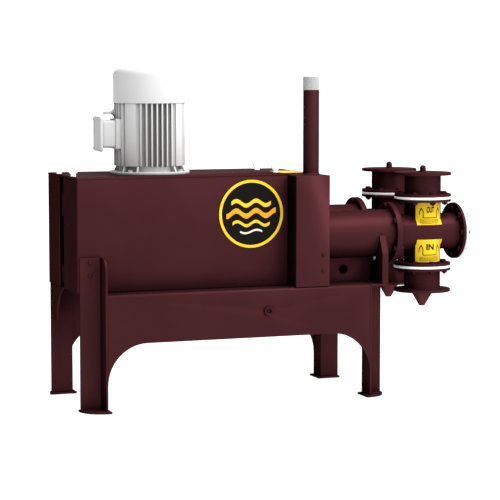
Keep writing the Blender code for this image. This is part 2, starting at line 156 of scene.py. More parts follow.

# %% [markdown]
# ## Finishes
#
# The frame, the housing and all the pipework carry one coat of dark maroon paint, sprayed on and half
# glossy. Up close such a coat has orange peel, a fine pebbled relief. It is never one flat tone, so two
# slow patterns shift its colour and its roughness a little, and a trace of dust lies on what faces up.
# Corners and faces that look towards the left end get painted shade. Plain gloss would lay white
# reflections over so dark a coat. Those of a metal keep its own tone, so the shader is partly metallic.

# %% Maroon paint
def maroon_paint(name, shade=1.0):
    def tint(red, green, blue):
        return (red * shade, green * shade, blue * shade, 1)

    paint = Finish(name, Metallic=0.42, Specular_IOR_Level=0.0, Specular_Tint=(0.08, 0.07, 0.07, 1))
    tone = paint.steps(paint.noise(5.0, 4.0), 0.3, 0.7)
    coat = paint.between(tone, tint(0.044, 0.0122, 0.0142), tint(0.050, 0.0141, 0.0164))
    # Painted shade: corners that other faces hide from light, and faces that look towards the left end, turn
    # near black.
    corner = 1.0 - paint.steps(paint.openness(0.14), 0.30, 0.92)
    left_side_shade = paint.steps(paint.facing((-1, 0, 0)), 0.5, 1.0)
    painted_shade = corner * 0.35 + left_side_shade * (0.40 + corner * 0.60)
    coat = paint.between(painted_shade, coat, tint(0.009, 0.0026, 0.0030))
    up = paint.steps(paint.facing((0, 0, 1)), 0.75, 1.0)
    dust = up * paint.steps(paint.noise(14.0, 6.0, 0.7), 0.45, 0.85) * 0.015
    paint.set("Base Color", paint.between(dust, coat, (0.30, 0.24, 0.22, 1)))
    paint.set("Roughness", 0.37 + paint.noise(28.0, 4.0) * 0.10 + dust)
    paint.relief(paint.noise(420.0, 2.0), 0.00022, 0.22)
    return paint.material


paint = maroon_paint("maroon_paint")
# A copy of the paint made 1.9 times brighter, as painted light from below on the inlet cones.
paint_lit_from_below = maroon_paint("maroon_paint_lit_from_below", 1.9)
print("made", paint.name, "and", paint_lit_from_below.name)

# %% [markdown]
# The motor is cast aluminium under white enamel. The castings have a slightly sandy skin, while the fan
# cover is smooth pressed sheet, so nearly the same colour gets two reliefs. Painted shade darkens the
# slots of the fins and other recesses.

# %% White enamel
def white_enamel(name, albedo, sand, grain):
    enamel = Finish(name, Specular_IOR_Level=0.35)
    tone = enamel.noise(6.0, 3.0)
    darker = albedo - 0.05
    clean = enamel.between(tone, (darker, darker, darker, 1), (albedo, albedo, albedo, 1))
    # Painted shade: recesses within a few centimetres of other faces turn dark grey.
    deep = 1.0 - enamel.steps(enamel.openness(0.035), 0.25, 0.90)
    enamel.set("Base Color", enamel.between(deep * 0.85, clean, (0.16, 0.155, 0.15, 1)))
    enamel.set("Roughness", 0.34 + enamel.noise(40.0, 3.0) * 0.16)
    enamel.relief(enamel.noise(sand, 3.0, 0.6), grain, 0.5)
    return enamel.material


casting = white_enamel("white_casting", 0.56, 260.0, 0.0002)
pressed = white_enamel("white_sheet", 0.60, 90.0, 0.00008)
print("made", casting.name, "and", pressed.name)

# %% [markdown]
# Small things have their own finishes: grey plastic on the vent, smooth white board for the gaskets and
# the end covers, white enamel on the lifting eyes with a faint glow of painted light, zinc on a few bolts,
# near black painted shade for unlit insides, and flat print in yellow, black and two more tints. They
# differ only in numbers, so one function makes them all.

# %% Small finishes
def plain_finish(name, colour, shade, roughness, metallic=0.0, specular=0.4, glow=0.0):
    made = Finish(name, Metallic=metallic, Specular_IOR_Level=specular, Emission_Strength=glow)
    made.set("Base Color", made.between(made.noise(18.0, 4.0), (*colour, 1), (*shade, 1)))
    made.set("Roughness", roughness + made.noise(60.0, 3.0) * 0.10)
    made.relief(made.noise(300.0), 0.0001, 0.4)
    return made.material


grey_plastic = plain_finish("grey_plastic", (0.40, 0.41, 0.41), (0.34, 0.35, 0.35), 0.45)
white_board = plain_finish("white_board", (0.92, 0.92, 0.91), (0.87, 0.87, 0.87), 0.42)
cover_board = plain_finish("cover_board", (0.68, 0.675, 0.675), (0.62, 0.62, 0.62), 0.42)
# This white glows a little: painted light that keeps the lifting eyes white on every side.
self_lit_white = plain_finish("self_lit_white", (0.95, 0.95, 0.94), (0.91, 0.91, 0.91), 0.30, glow=0.3)
zinc = plain_finish("zinc", (0.62, 0.61, 0.60), (0.50, 0.49, 0.48), 0.35, 0.8)
# Near black painted shade, for sheets and discs set where no light reaches.
shadow = plain_finish("dark_inside", (0.004, 0.002, 0.002), (0.002, 0.001, 0.001), 0.8, specular=0.0)
yellow_print = plain_finish("yellow_print", (0.80, 0.53, 0.012), (0.72, 0.47, 0.010), 0.45, specular=0.15)
amber_print = plain_finish("amber_print", (0.78, 0.33, 0.010), (0.72, 0.29, 0.009), 0.45, specular=0.15)
pale_print = plain_finish("pale_print", (0.70, 0.66, 0.62), (0.64, 0.60, 0.56), 0.45, specular=0.15)
black_print = plain_finish("black_print", (0.0035, 0.0028, 0.0025), (0.006, 0.005, 0.0045), 0.5,
                           specular=0.06)
print("made ten small finishes")

# %% [markdown]
# ## Helpers for pieces
#
# Every piece ends the same way: its bmesh becomes an object at the origin, is shaded smooth up to a
# sharp angle, takes a finish, rides on the model's one body and stands for the solids that it replaces.

# %% Deliver a piece
def deliver(name, bm, finish, nodes=(), sharp=32):
    mesh = bpy.data.meshes.new(name)
    bm.to_mesh(mesh)
    bm.free()
    mesh.materials.append(finish)
    mesh.shade_smooth()
    mesh.set_sharp_from_angle(angle=math.radians(sharp))
    piece = bpy.data.objects.new(name, mesh)
    bpy.context.scene.collection.objects.link(piece)
    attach(piece, "root")
    if nodes:
        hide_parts(*nodes)
    print(name, len(mesh.polygons), "faces")
    return piece


# %% [markdown]
# Real plates have rounded arrises that catch the light. A solid from the model comes as loose triangles,
# so its copy is merged, its flat faces are joined again, and then its sharp edges can be bevelled.

# %% Copies with soft edges
def merged_copy(node):
    bm = bmesh.new()
    bm.from_mesh(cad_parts[node].data)
    bmesh.ops.remove_doubles(bm, verts=bm.verts, dist=0.00002)
    bmesh.ops.dissolve_limit(bm, angle_limit=math.radians(0.6), verts=bm.verts, edges=bm.edges)
    return bm


def soften(bm, width, segments=2, angle=40):
    limit = math.radians(angle)
    sharp = [e for e in bm.edges if len(e.link_faces) == 2 and e.calc_face_angle(0.0) > limit]
    bmesh.ops.bevel(bm, geom=sharp, offset=width, segments=segments, profile=0.5, affect="EDGES",
                    material=-1, clamp_overlap=True)
    return bm


# %% [markdown]
# Most of the pump is turned work. A profile of radius and height is spun round the upright axis with
# one operator, laid along another axis if need be, and moved to its place.

# %% Turned pieces
def turned(profile, axis, centre, steps=96, edge=0.0008):
    """A closed body spun from (radius, height) points; the heights run along the axis."""
    bm = bmesh.new()
    chain = [bm.verts.new((radius, 0.0, height)) for radius, height in profile]
    edges = [bm.edges.new(pair) for pair in zip(chain, chain[1:])]
    bmesh.ops.spin(bm, geom=chain + edges, cent=(0, 0, 0), axis=(0, 0, 1), angle=math.tau, steps=steps,
                   use_merge=True)
    bmesh.ops.remove_doubles(bm, verts=bm.verts, dist=0.00001)
    bmesh.ops.recalc_face_normals(bm, faces=bm.faces)
    if edge:
        soften(bm, edge)
    upright = Vector(axis).to_track_quat("Z", "Y").to_matrix().to_4x4()
    bmesh.ops.transform(bm, matrix=Matrix.Translation(centre) @ upright, verts=bm.verts)
    return bm


def arc(centre, radius, start, end, steps):
    """Points of an arc in a plane, with its angles in degrees."""
    angles = [math.radians(start + (end - start) * i / steps) for i in range(steps + 1)]
    return [(centre[0] + radius * math.cos(a), centre[1] + radius * math.sin(a)) for a in angles]


# %% [markdown]
# A fastener is made once and stamped wherever it is needed. Its own +Z points away from the face it
# sits on, so one rotation turns it to any face.

# %% Stamps
def as_mesh(bm):
    mesh = bpy.data.meshes.new("template")
    bm.to_mesh(mesh)
    bm.free()
    return mesh


def stamp(target, template, matrix):
    copy = template.copy()
    copy.transform(matrix)
    target.from_mesh(copy)
    bpy.data.meshes.remove(copy)


def facing(axis):
    return Vector(axis).to_track_quat("Z", "Y").to_matrix().to_4x4()


def stamp_circle(target, template, centre, axis, radius, count, start=0.0):
    """Stamps a template round a circle that faces along the axis."""
    turn = facing(axis)
    for number in range(count):
        angle = math.radians(start) + math.tau * number / count
        spot = turn.to_3x3() @ Vector((radius * math.cos(angle), radius * math.sin(angle), 0.0))
        stamp(target, template, Matrix.Translation(Vector(centre) + spot) @ turn)


# %% [markdown]
# A bolt shows as a washer and a chamfered hexagon, a nut as the same with the end of the bolt in it.

# %% Bolt heads and nuts
def fastener(across, height, stud=0.0):
    bm = bmesh.new()
    washer = height * 0.16
    corner = across / math.sqrt(3)
    bmesh.ops.create_cone(bm, cap_ends=True, segments=28, radius1=across * 0.62, radius2=across * 0.60,
                          depth=washer, matrix=Matrix.Translation((0, 0, washer / 2)))
    hexagon = bmesh.ops.create_cone(bm, cap_ends=True, segments=6, radius1=corner, radius2=corner,
                                    depth=height, matrix=Matrix.Translation((0, 0, washer + height / 2)))
    top = washer + height * 0.9
    rim = {e for v in hexagon["verts"] for e in v.link_edges if all(w.co.z > top for w in e.verts)}
    bmesh.ops.bevel(bm, geom=list(rim), offset=across * 0.07, segments=2, profile=0.5, affect="EDGES",
                    material=-1)
    if stud:
        reach = washer + height + stud
        bmesh.ops.create_cone(bm, cap_ends=True, segments=20, radius1=across * 0.30, radius2=across * 0.27,
                              depth=reach, matrix=Matrix.Translation((0, 0, reach / 2)))
    return as_mesh(bm)


flange_head = fastener(0.019, 0.0065)
flange_nut = fastener(0.019, 0.0075, 0.004)
small_head = fastener(0.013, 0.0038)
print("made three fasteners")

# %% [markdown]
# ## Frame
#
# The frame is folded and cut plate: two side rails with arched ends, four angle legs, foot plates and
# a corner gusset, with a drip tray and upright panels in the pump bay. Their shapes are right in the
# solids, so each gets a soft-edged copy. Laser-cut plate has about a millimetre of arris. The cradle is
# thick plate with a flat shoulder on either side, so it keeps even its blunt corners sharp.

# %% Plate pieces
plates = {
    "housing_lid": 0.0016, "drip_tray": 0.0008, "bulkhead_box": 0.0022, "end_gusset_rear": 0.0010,
}
for side in ("front", "rear"):
    plates[f"bay_panel_{side}"] = 0.0010
    for end in ("left", "right"):
        plates[f"leg_{side}_{end}"] = 0.0013
        plates[f"foot_{side}_{end}"] = 0.0010
for node, width in plates.items():
    deliver(f"{node}_plate", soften(merged_copy(node), width), paint, (node,))
deliver("cylinder_cradle_plate", soften(merged_copy("cylinder_cradle"), 0.0012), paint,
        ("cylinder_cradle",), sharp=14)

# %% [markdown]
# Some pieces below need a Boolean, such as a hole in a plate or two pipes welded into one skin. A bmesh
# has no operator for that, so two throwaway objects carry the modifier and leave one clean mesh.

# %% Cut and join
def combine(bm, tool, operation):
    """The bmesh after a Boolean with another one; both are used up."""
    objects = [bpy.data.objects.new("work", as_mesh(part)) for part in (bm, tool)]
    for item in objects:
        bpy.context.scene.collection.objects.link(item)
    step = objects[0].modifiers.new("step", "BOOLEAN")
    step.operation = operation
    step.object = objects[1]
    step.solver = "EXACT"
    bpy.context.view_layer.update()
    graph = bpy.context.evaluated_depsgraph_get()
    result = bpy.data.meshes.new_from_object(objects[0].evaluated_get(graph))
    made = bmesh.new()
    made.from_mesh(result)
    for item in objects:
        bpy.data.objects.remove(item)
    bpy.data.meshes.remove(result)
    bmesh.ops.remove_doubles(made, verts=made.verts, dist=0.00001)
    return made


print("cut and join ready")

# %% [markdown]
# A small turned boss with a round hole through it sits on the front rail, and its twin on the rear one.
# The hole is cut into the rail first, and the boss is a ring that is spun round it.

# %% Side rails with their bosses
housing_low, housing_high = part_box("crank_housing")
left_end = housing_low.x
boss_x = left_end + 0.7095
boss_z = 0.3485
boss_hole = 0.0105
for side, sign in (("front", -1), ("rear", 1)):
    rail_low, rail_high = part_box(f"side_rail_{side}")
    face = rail_low.y if sign < 0 else rail_high.y
    rod = turned([(0, 0.03), (boss_hole, 0.03), (boss_hole, -0.03), (0, -0.03)], (0, sign, 0),
                 (boss_x, face, boss_z), 40, 0)
    rail = combine(merged_copy(f"side_rail_{side}"), rod, "DIFFERENCE")
    deliver(f"side_rail_{side}_plate", soften(rail, 0.0012, angle=50), paint,
            (f"side_rail_{side}",))
    boss = turned([(boss_hole, 0.0), (0.0175, 0.0), (0.0165, 0.007), (0.0125, 0.007), (boss_hole, 0.005),
                   (boss_hole, 0.0)], (0, sign, 0), (boss_x, face, boss_z), 48, 0)
    deliver(f"rail_boss_{side}", boss, paint)

# %% [markdown]
# ## Crank housing
#
# The housing is a welded box with folded upright corners. Its left end has an upright slot with two lugs
# in it, which the solid already has. The lid carries four lifting eyes.

# %% Housing walls
walls = merged_copy("crank_housing")
folds = [e for e in walls.edges if abs(e.verts[0].co.z - e.verts[1].co.z) > 0.3
         and all(abs(v.co.y) > 0.20 for v in e.verts)]
bmesh.ops.bevel(walls, geom=folds, offset=0.007, segments=5, profile=0.5, affect="EDGES", material=-1)
deliver("crank_housing_walls", soften(walls, 0.0016), paint, ("crank_housing",))

# %% [markdown]
# The slot opens into the unlit gear space. Three thin black sheets of painted shade line it, so that it
# reads as deep.

# %% Painted shade in the slot
def slab(low, high):
    """A box between two corners."""
    bm = bmesh.new()
    bmesh.ops.create_cube(bm, size=1.0)
    low, high = Vector(low), Vector(high)
    bmesh.ops.transform(bm, matrix=Matrix.Translation((low + high) / 2) @ Matrix.Diagonal((*(high - low), 1)),
                        verts=bm.verts)
    return bm


def join(parts):
    bm = bmesh.new()
    for part in parts:
        mesh = as_mesh(part)
        bm.from_mesh(mesh)
        bpy.data.meshes.remove(mesh)
    return bm


slot_front, slot_rear, slot_back = -0.020, 0.047, left_end + 0.060
slot_low, slot_high = housing_low.z + 0.004, housing_high.z - 0.0005
off_wall = 0.0003
sheet = 0.0005
shade_sheets = [slab((slot_back - off_wall - sheet, slot_front + off_wall, slot_low),
               (slot_back - off_wall, slot_rear - off_wall, slot_high))]
for y in (slot_front + off_wall, slot_rear - off_wall - sheet):
    shade_sheets.append(slab((left_end + 0.004, y, slot_low), (slot_back - 0.0010, y + sheet, slot_high)))
deliver("slot_painted_shade", soften(join(shade_sheets), 0.0001, 1), shadow)

# %% [markdown]
# A lifting eye is a ring forged onto a collar. The ring is a small circle spun round a larger one.

# %% Lifting eyes
def lifting_eye(ring, wire, collar):
    """A collar with an upright ring on it, as one mesh with its foot at the origin."""
    bm = bmesh.new()
    bmesh.ops.create_cone(bm, cap_ends=True, segments=32, radius1=collar, radius2=collar * 0.75,
                          depth=0.007, matrix=Matrix.Translation((0, 0, 0.0035)))
    hoop = turned_ring(ring, wire)
    stand = Matrix.Translation((0, 0, 0.005 + ring + wire)) @ Matrix.Rotation(math.pi / 2, 4, "X")
    stamp(bm, hoop, stand)
    return as_mesh(bm)


def turned_ring(ring, wire):
    bm = bmesh.new()
    lie = Matrix.Translation((ring, 0, 0)) @ Matrix.Rotation(math.pi / 2, 4, "X")
    hoop = bmesh.ops.create_circle(bm, segments=16, radius=wire, matrix=lie)
    bmesh.ops.spin(bm, geom=hoop["verts"] + bm.edges[:], cent=(0, 0, 0), axis=(0, 0, 1), angle=math.tau,
                   steps=48, use_merge=True)
    bmesh.ops.remove_doubles(bm, verts=bm.verts, dist=0.00001)
    bmesh.ops.recalc_face_normals(bm, faces=bm.faces)
    return as_mesh(bm)


lid_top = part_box("housing_lid")[1].z
eye = lifting_eye(0.0138, 0.0044, 0.0105)
eye_off_middle = 0.100
eye_along = {"left": 0.0165, "right": 0.808}
for end, along in eye_along.items():
    for side, sign in (("front", -1), ("rear", 1)):
        bm = bmesh.new()
        stamp(bm, eye, Matrix.Translation((left_end + along, sign * eye_off_middle, lid_top)))
        # The eyes take the white with its faint painted glow.
        deliver(f"lifting_eye_{side}_{end}", bm, self_lit_white)

# %% [markdown]
# ## Round badge
#
# A round plate marks the front of the housing. It holds only a plain design, for a machine that moves
# water: a yellow rim, three rows of waves and a short pale one under them. The rows start as narrow
# grids whose points follow a sine, which bends them more evenly than a few points set by hand.

# %% Badge
badge_x = left_end + 0.670
badge_z = 0.705
badge_radius = 0.128
rim_inner, rim_outer, rim_height = 0.1165, 0.1268, 0.0022
front_face = housing_low.y


def badge_part(profile, lift):
    return turned(profile, (0, -1, 0), (badge_x, front_face - lift, badge_z), edge=0)


deliver("badge_disc", badge_part([(0, 0.0012), (badge_radius - 0.0006, 0.0012), (badge_radius, 0.0006),
                                  (badge_radius, 0.0), (0, 0.0)], 0.0001), black_print)
deliver("badge_rim", badge_part([(rim_inner, 0.0), (rim_inner, rim_height), (rim_outer, rim_height),
                                 (rim_outer, 0.0), (rim_inner, 0.0)], 0.0006), yellow_print)


def wave(half_width, thickness, height, rise, turns):
    bm = bmesh.new()
    bmesh.ops.create_grid(bm, x_segments=72, y_segments=1, size=0.5)
    bmesh.ops.scale(bm, vec=(2 * half_width, thickness, 1), verts=bm.verts)
    for vert in bm.verts:
        vert.co.y += height + rise * math.sin(math.pi * turns * vert.co.x / half_width)
    bmesh.ops.solidify(bm, geom=bm.faces[:], thickness=-0.0006)
    bmesh.ops.recalc_face_normals(bm, faces=bm.faces)
    place = Matrix.Translation((badge_x, front_face - 0.0013, badge_z))
    bmesh.ops.transform(bm, matrix=place @ Matrix.Rotation(math.pi / 2, 4, "X"), verts=bm.verts)
    return bm


deliver("badge_wave_top", wave(0.078, 0.015, 0.040, 0.009, 2), yellow_print)
deliver("badge_wave_middle", wave(0.098, 0.019, 0.002, 0.010, 2.5), amber_print)
deliver("badge_wave_low", wave(0.074, 0.011, -0.036, 0.008, 2), yellow_print)
deliver("badge_wave_foot", wave(0.044, 0.007, -0.066, 0.006, 1), pale_print)

# %% [markdown]
# ## Bulkhead, vent pipe and bay screws
#
# The bulkhead box stands across the frame between the housing and the cylinders. A vent pipe rises from
# its top with a ribbed grey cap. Ribs are modelled by pulling in every other point of a round bar.

# %% Vent pipe and cap
pipe_low, pipe_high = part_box("vent_pipe")
vent = (pipe_low + pipe_high) / 2
vent_radius = (pipe_high.x - pipe_low.x) / 2
box_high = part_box("bulkhead_box")[1]
vent_weld = 0.004
pipe = turned([(0, pipe_high.z), (vent_radius, pipe_high.z), (vent_radius, box_high.z + vent_weld),
               (vent_radius + vent_weld, box_high.z), (0, box_high.z)], (0, 0, 1), (vent.x, vent.y, 0),
              80, 0.0004)
deliver("vent_pipe_tube", pipe, paint, ("vent_pipe",))

cap_low, cap_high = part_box("vent_cap")
cap_ribs = 40
cap_groove = 0.955
cap = bmesh.new()
bmesh.ops.create_cone(cap, cap_ends=True, segments=2 * cap_ribs, radius1=vent_radius + 0.001,
                      radius2=vent_radius + 0.0005, depth=cap_high.z - cap_low.z,
                      matrix=Matrix.Translation((0, 0, (cap_high.z + cap_low.z) / 2)))
for vert in cap.verts:
    turn = round(math.atan2(vert.co.y, vert.co.x) / math.tau * 2 * cap_ribs)
    if turn % 2:
        vert.co.x *= cap_groove
        vert.co.y *= cap_groove
bmesh.ops.translate(cap, vec=(vent.x, vent.y, 0), verts=cap.verts)
top = [e for e in cap.edges if all(v.co.z > cap_high.z - 0.0001 for v in e.verts)]
bmesh.ops.bevel(cap, geom=top, offset=0.0025, segments=3, profile=0.5, affect="EDGES", material=-1)
deliver("vent_cap_ribbed", cap, grey_plastic, ("vent_cap",), sharp=25)

# %% [markdown]
# Small bolts hold the legs and the bulkhead, one more holds each end of the cradle, and a dark disc
# behind the hole of each bay panel stands for the unlit space under the cylinders.

# %% Small bolts on the plates
def spot(x, y, z, axis):
    """The place of a stamp on a face that looks along the axis."""
    return Matrix.Translation((x, y, z)) @ facing(axis)


leg_bolts = {"x": left_end + 0.045, "face": 0.2105, "heights": (0.545, 0.498)}
bulkhead_bolts = {"x": left_end + 0.931, "face": 0.2805, "heights": (0.550, 0.492)}
screws = bmesh.new()
for sign in (-1, 1):
    for row in (leg_bolts, bulkhead_bolts):
        for height in row["heights"]:
            stamp(screws, small_head, spot(row["x"], sign * row["face"], height, (0, sign, 0)))
deliver("plate_bolts", screws, paint)
cradle_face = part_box("cylinder_cradle")[0].x
cradle_bolt_y, cradle_bolt_z = 0.205, 0.523
cradle_bolts = bmesh.new()
for sign in (-1, 1):
    stamp(cradle_bolts, small_head, spot(cradle_face, sign * cradle_bolt_y, cradle_bolt_z, (-1, 0, 0)))
deliver("cradle_bolts", cradle_bolts, zinc)
shade_radius = 0.021
bay_hole_x, bay_hole_z = left_end + 1.060, 0.479
for side, sign in (("front", -1), ("rear", 1)):
    low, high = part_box(f"bay_panel_{side}")
    back = high.y if sign < 0 else low.y
    disc = turned([(0, -0.0008), (shade_radius, -0.0008), (shade_radius, -0.0016), (0, -0.0016)],
                  (0, sign, 0), (bay_hole_x, back, bay_hole_z), 48, 0)
    deliver(f"bay_hole_shade_{side}", disc, shadow)

# %% [markdown]
# ## Cylinders
#
# Each cylinder is a thick tube that ends in a bolted ring flange. Its solid has few sides, so a finer
# one is spun, with a short slope at either end for the weld.

# %% Cylinder tubes
line_z = (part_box("cylinder_front")[0].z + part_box("cylinder_front")[1].z) / 2
tube_radius = 0.0895
ring_radius = 0.117
ring_thickness = 0.022
ring_bolt_circle = 0.1035
tube_weld = 0.004
for side in ("front", "rear"):
    low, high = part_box(f"cylinder_{side}")
    y = (low.y + high.y) / 2
    ring_back = high.x - ring_thickness
    tube = turned([(0, low.x), (tube_radius + tube_weld, low.x), (tube_radius, low.x + tube_weld),
                   (tube_radius, ring_back - tube_weld), (tube_radius + tube_weld, ring_back),
                   (ring_radius, ring_back), (ring_radius, high.x), (0, high.x)], (1, 0, 0),
                  (0, y, line_z), 128, 0.0010)
    deliver(f"cylinder_{side}_tube", tube, paint, (f"cylinder_{side}",))
    bolts = bmesh.new()
    stamp_circle(bolts, flange_head, (ring_back, y, line_z), (-1, 0, 0), ring_bolt_circle, 6, 30)
    stamp_circle(bolts, flange_nut, (high.x, y, line_z), (1, 0, 0), ring_bolt_circle, 6, 30)
    deliver(f"ring_bolts_{side}", bolts, paint)

# %% [markdown]
# ## Valve bodies
#
# A valve body is a level pipe crossed by an upright one, welded together and ground smooth. The two are
# spun and joined by a union. Two pipes of one size would just touch at their sides, where a Boolean has
# no clear cut to make, so the level pipe is a hair thinner.

# %% Crossed pipes
pipe_radius = 0.0700
flange_radius = 0.109
flange_thickness = 0.010
level_radius = pipe_radius - 0.0002
for side in ("front", "rear"):
    low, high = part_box(f"valve_body_{side}")
    y = (low.y + high.y) / 2
    branch_x = (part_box(f"upper_gasket_{side}")[0].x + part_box(f"upper_gasket_{side}")[1].x) / 2
    upright = turned([(0, high.z), (flange_radius, high.z), (flange_radius, high.z - flange_thickness),
                      (pipe_radius, high.z - flange_thickness), (pipe_radius, low.z + flange_thickness),
                      (flange_radius, low.z + flange_thickness), (flange_radius, low.z), (0, low.z)],
                     (0, 0, 1), (branch_x, y, 0))
    level = turned([(0, low.x), (level_radius, low.x), (level_radius, high.x - flange_thickness),
                    (flange_radius, high.x - flange_thickness), (flange_radius, high.x), (0, high.x)],
                   (1, 0, 0), (0, y, line_z))
    deliver(f"valve_body_{side}_pipes", combine(upright, level, "UNION"), paint,
            (f"valve_body_{side}",))

# %% [markdown]
# White board gaskets show as bright rings between the flanges, and a white cover closes the far end.
# Eight bolts hold each joint, on a circle of 180 mm.

# %% Gaskets, covers and joint bolts
bolt_circle = 0.090
board_radius = flange_radius + 0.0006
clearance = 0.0003
for side in ("front", "rear"):
    for level in ("upper", "lower"):
        low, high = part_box(f"{level}_gasket_{side}")
        centre = (low + high) / 2
        disc = turned([(0, high.z), (board_radius, high.z), (board_radius, low.z), (0, low.z)], (0, 0, 1),
                      (centre.x, centre.y, 0), edge=0.0012)
        deliver(f"{level}_gasket_{side}_board", disc, white_board,
                (f"{level}_gasket_{side}",))
        bolts = bmesh.new()
        above = high.z + clearance + flange_thickness
        below = low.z - clearance - flange_thickness
        stamp_circle(bolts, flange_head, (centre.x, centre.y, above), (0, 0, 1), bolt_circle, 8)
        stamp_circle(bolts, flange_nut, (centre.x, centre.y, below), (0, 0, -1), bolt_circle, 8)
        deliver(f"{level}_joint_bolts_{side}", bolts, paint)
    low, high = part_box(f"end_cover_{side}")
    centre = (low + high) / 2
    cover = turned([(0, low.x), (board_radius, low.x), (board_radius, high.x), (0, high.x)], (1, 0, 0),
                   (0, centre.y, line_z), edge=0.0012)
    deliver(f"end_cover_{side}_board", cover, cover_board, (f"end_cover_{side}",))
    bolts = bmesh.new()
    stamp_circle(bolts, flange_head, (low.x - clearance - flange_thickness, centre.y, line_z), (-1, 0, 0),
                 bolt_circle, 8)
    stamp_circle(bolts, flange_nut, (high.x, centre.y, line_z), (1, 0, 0), bolt_circle, 8)
    deliver(f"end_cover_bolts_{side}", bolts, paint)

# %% [markdown]
# The branch above each body ends in a blank disc with a domed knob, and the one below in a disc with a
# cone, whose coat is painted brighter as painted light from below. All are spun profiles, with the weld
# fillets as short slopes.

# %% Upper and lower branches
blank_thickness = 0.0105
upper_blank_top = 0.8447
lower_blank_low = 0.3836
knob = 0.0118
fillet = 0.003
cone_radius, cone_tip = 0.0434, 0.0108
for side in ("front", "rear"):
    low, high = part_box(f"upper_spool_{side}")
    centre = (low + high) / 2
    disc_top = upper_blank_top
    disc_low = disc_top - blank_thickness
    profile = [(knob * math.sin(math.radians(a)), high.z - knob + knob * math.cos(math.radians(a)))
               for a in range(0, 91, 9)]
    profile += [(knob, disc_top), (flange_radius, disc_top), (flange_radius, disc_low),
                (pipe_radius + fillet, disc_low), (pipe_radius, disc_low - fillet),
                (pipe_radius, low.z + flange_thickness + fillet),
                (pipe_radius + fillet, low.z + flange_thickness), (flange_radius, low.z + flange_thickness),
                (flange_radius, low.z), (0, low.z)]
    branch = turned(profile, (0, 0, 1), (centre.x, centre.y, 0), edge=0.0007)
    deliver(f"upper_spool_{side}_branch", branch, paint, (f"upper_spool_{side}",))
    low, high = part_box(f"lower_spool_{side}")
    disc_low = lower_blank_low
    disc_top = disc_low + blank_thickness
    profile = [(0, high.z), (flange_radius, high.z), (flange_radius, high.z - flange_thickness),
               (pipe_radius + fillet, high.z - flange_thickness),
               (pipe_radius, high.z - flange_thickness - fillet), (pipe_radius, disc_top + fillet),
               (pipe_radius + fillet, disc_top), (flange_radius, disc_top), (flange_radius, disc_low),
               (0, disc_low)]
    branch = turned(profile, (0, 0, 1), (centre.x, centre.y, 0), edge=0.0007)
    deliver(f"lower_spool_{side}_branch", branch, paint, (f"lower_spool_{side}",))
    # The cone takes the brightened paint, which is painted light from below.
    cone_top = disc_low - 0.0002
    cone = turned([(0, cone_top), (cone_radius, cone_top), (cone_tip, low.z), (0, low.z)], (0, 0, 1),
                  (centre.x, centre.y, 0), edge=0.0007)
    deliver(f"inlet_cone_{side}", cone, paint_lit_from_below)

# %% [markdown]
# ## Labels on the valve bodies
#
# Yellow labels are stuck round the front of the pipes: OUT above the crossing and IN below it. A label
# is laid out flat first, because words and lines are simple there. A sheet can only bend where it has
# points, so panels are fine grids and the letters are cut into narrow upright strips.

# %% Flat print
strip = 0.003


def panel(width, height):
    """A flat grid round the origin."""
    bm = bmesh.new()
    bmesh.ops.create_grid(bm, x_segments=max(1, round(width / strip)),
                          y_segments=max(1, round(height / 0.004)), size=0.5)
    bmesh.ops.transform(bm, matrix=Matrix.Diagonal((width, height, 1, 1)), verts=bm.verts)
    return bm


def word(text, width, height, up):
    """Bold letters stretched to a width and a height, as a flat mesh cut into narrow upright strips."""
    curve = bpy.data.curves.new(text, "FONT")
    curve.body = text
    curve.offset = 0.035
    holder = bpy.data.objects.new("work", curve)
    bpy.context.scene.collection.objects.link(holder)
    bpy.context.view_layer.update()
    mesh = bpy.data.meshes.new_from_object(holder.evaluated_get(bpy.context.evaluated_depsgraph_get()))
    bpy.data.objects.remove(holder)
    bm = bmesh.new()
    bm.from_mesh(mesh)
    left, right = min(v.co.x for v in bm.verts), max(v.co.x for v in bm.verts)
    low, high = min(v.co.y for v in bm.verts), max(v.co.y for v in bm.verts)
    bmesh.ops.translate(bm, vec=(-(left + right) / 2, -(low + high) / 2, 0), verts=bm.verts)
    bmesh.ops.scale(bm, vec=(width / (right - left), height / (high - low), 1), verts=bm.verts)
    bmesh.ops.translate(bm, vec=(0, up, 0), verts=bm.verts)
    cuts = int(width / 2 / strip) + 1
    for number in range(-cuts, cuts + 1):
        bmesh.ops.bisect_plane(bm, geom=bm.verts[:] + bm.edges[:] + bm.faces[:],
                               plane_co=(number * strip, 0, 0), plane_no=(1, 0, 0))
    return bm


def stroke(start, end, thickness):
    """A straight line of print between two points."""
    start, end = Vector(start), Vector(end)
    line = panel((end - start).length, thickness)
    turn = Matrix.Rotation(math.atan2(end.y - start.y, end.x - start.x), 4, "Z")
    bmesh.ops.transform(line, matrix=Matrix.Translation((*(start + end) / 2, 0)) @ turn, verts=line.verts)
    return line


print("flat print ready")

# %% [markdown]
# Each point of the flat sheet is then bent round the upright pipe. Where the level pipe stands out
# further than the upright one, the sheet follows the level pipe, which is why its inner corners flare.
# Two formulas give that at once, where a modifier would need a guide for each pipe.

# %% Wrap a flat sheet round the crossed pipes
def wrap(bm, centre, lift, thickness):
    for vert in bm.verts:
        turn = vert.co.x / pipe_radius
        z = centre.z + vert.co.y
        upright = pipe_radius * math.cos(turn)
        level = math.sqrt(max(0.0, pipe_radius ** 2 - (z - line_z) ** 2))
        vert.co = (centre.x + pipe_radius * math.sin(turn), centre.y - max(upright, level) - lift, z)
    bmesh.ops.recalc_face_normals(bm, faces=bm.faces)
    bmesh.ops.solidify(bm, geom=bm.faces[:], thickness=thickness)
    bmesh.ops.recalc_face_normals(bm, faces=bm.faces)
    return bm


print("wrap ready")

# %% [markdown]
# The print is generic: the word, an open arrow on either side, a bracket that joins them under the word,
# and rows of dashes in place of small print.

